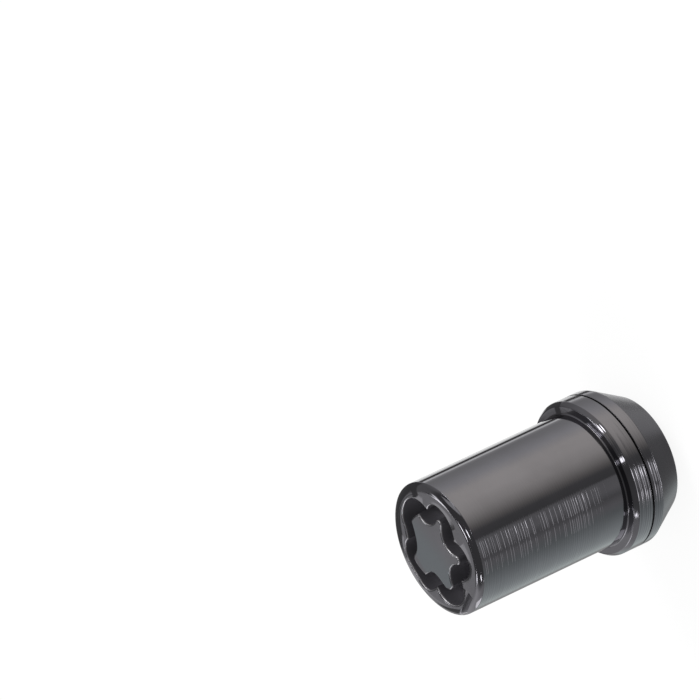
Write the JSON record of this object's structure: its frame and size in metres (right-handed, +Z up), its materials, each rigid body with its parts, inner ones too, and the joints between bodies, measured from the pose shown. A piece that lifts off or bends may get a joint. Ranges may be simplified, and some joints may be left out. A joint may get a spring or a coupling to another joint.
{
  "type": "locking wheel nut",
  "caption": "Closed cylindrical wheel nut with a patterned key groove in its drive face, a collar, a 60 degree seat cone and a blind threaded hole.",
  "frame": {"origin": "centre of the flat seat end, on the nut's axis, which is the surface the nut stands on", "axes": "+Z up the nut's axis from the seat end to the drive face; +X and +Y across it, with the index slot at a bearing of 307 degrees from +X"},
  "size_m": [0.0216, 0.0216, 0.0336],
  "materials": {
    "plated_steel": "turned steel, polished and black plated"
  },
  "bodies": {
    "root": {"locking_nut": "plated_steel"}
  },
  "joints": []
}
